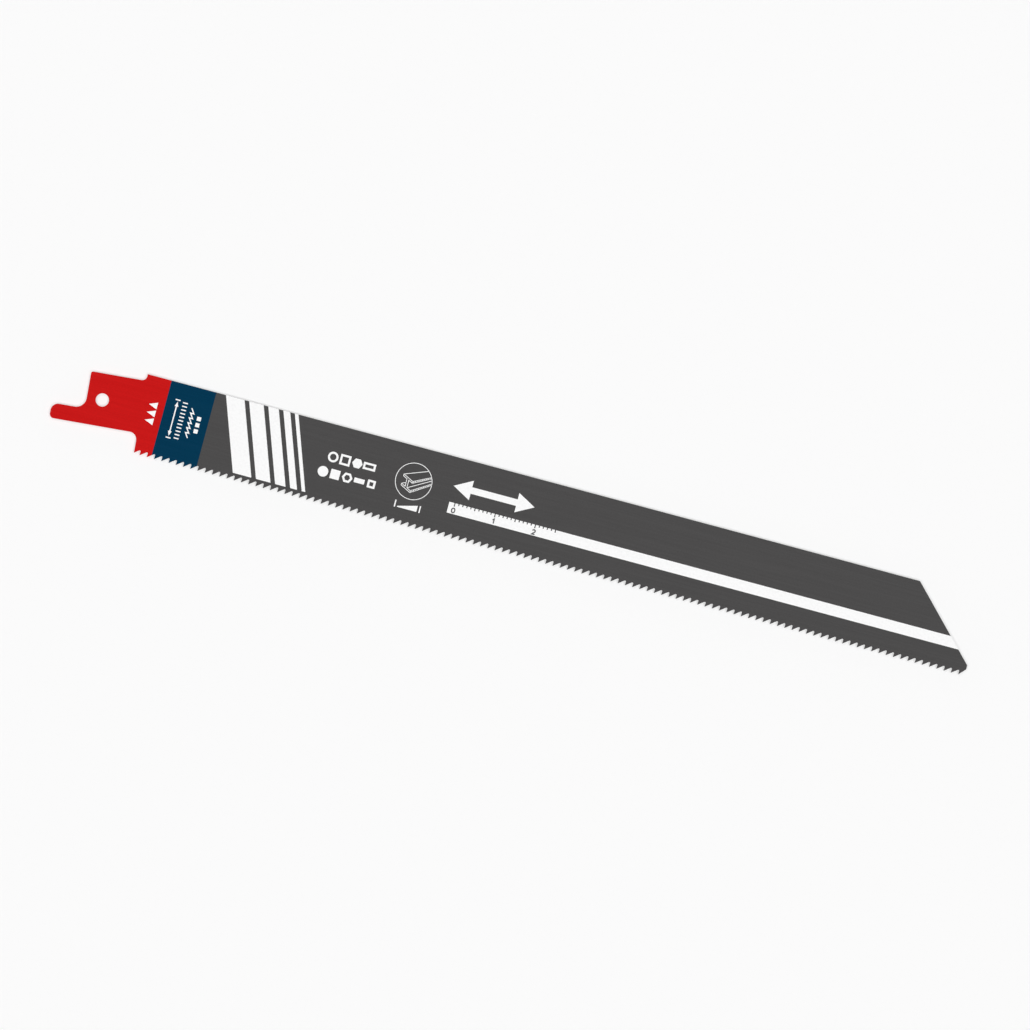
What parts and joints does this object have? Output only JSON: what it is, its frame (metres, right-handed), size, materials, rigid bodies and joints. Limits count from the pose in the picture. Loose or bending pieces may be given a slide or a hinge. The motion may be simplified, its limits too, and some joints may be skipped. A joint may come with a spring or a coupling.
{
  "type": "reciprocating saw blade",
  "caption": "Long flat saw blade with fine wavy-set teeth, a sloping nose, and a tilted shank with a pin hole and a tang, coated and printed on one face.",
  "frame": {"origin": "centre of the pin hole in the shank, half way through the steel", "axes": "+X along the body to the nose, +Y from the teeth to the back edge, +Z out of the printed face"},
  "size_m": [0.2284, 0.0193, 0.0012],
  "materials": {
    "coated_steel": "satin lacquer on tool steel: dark grey body, dark blue band behind a red shank, white print on one face"
  },
  "bodies": {
    "root": {"blade": "coated_steel"}
  },
  "joints": []
}
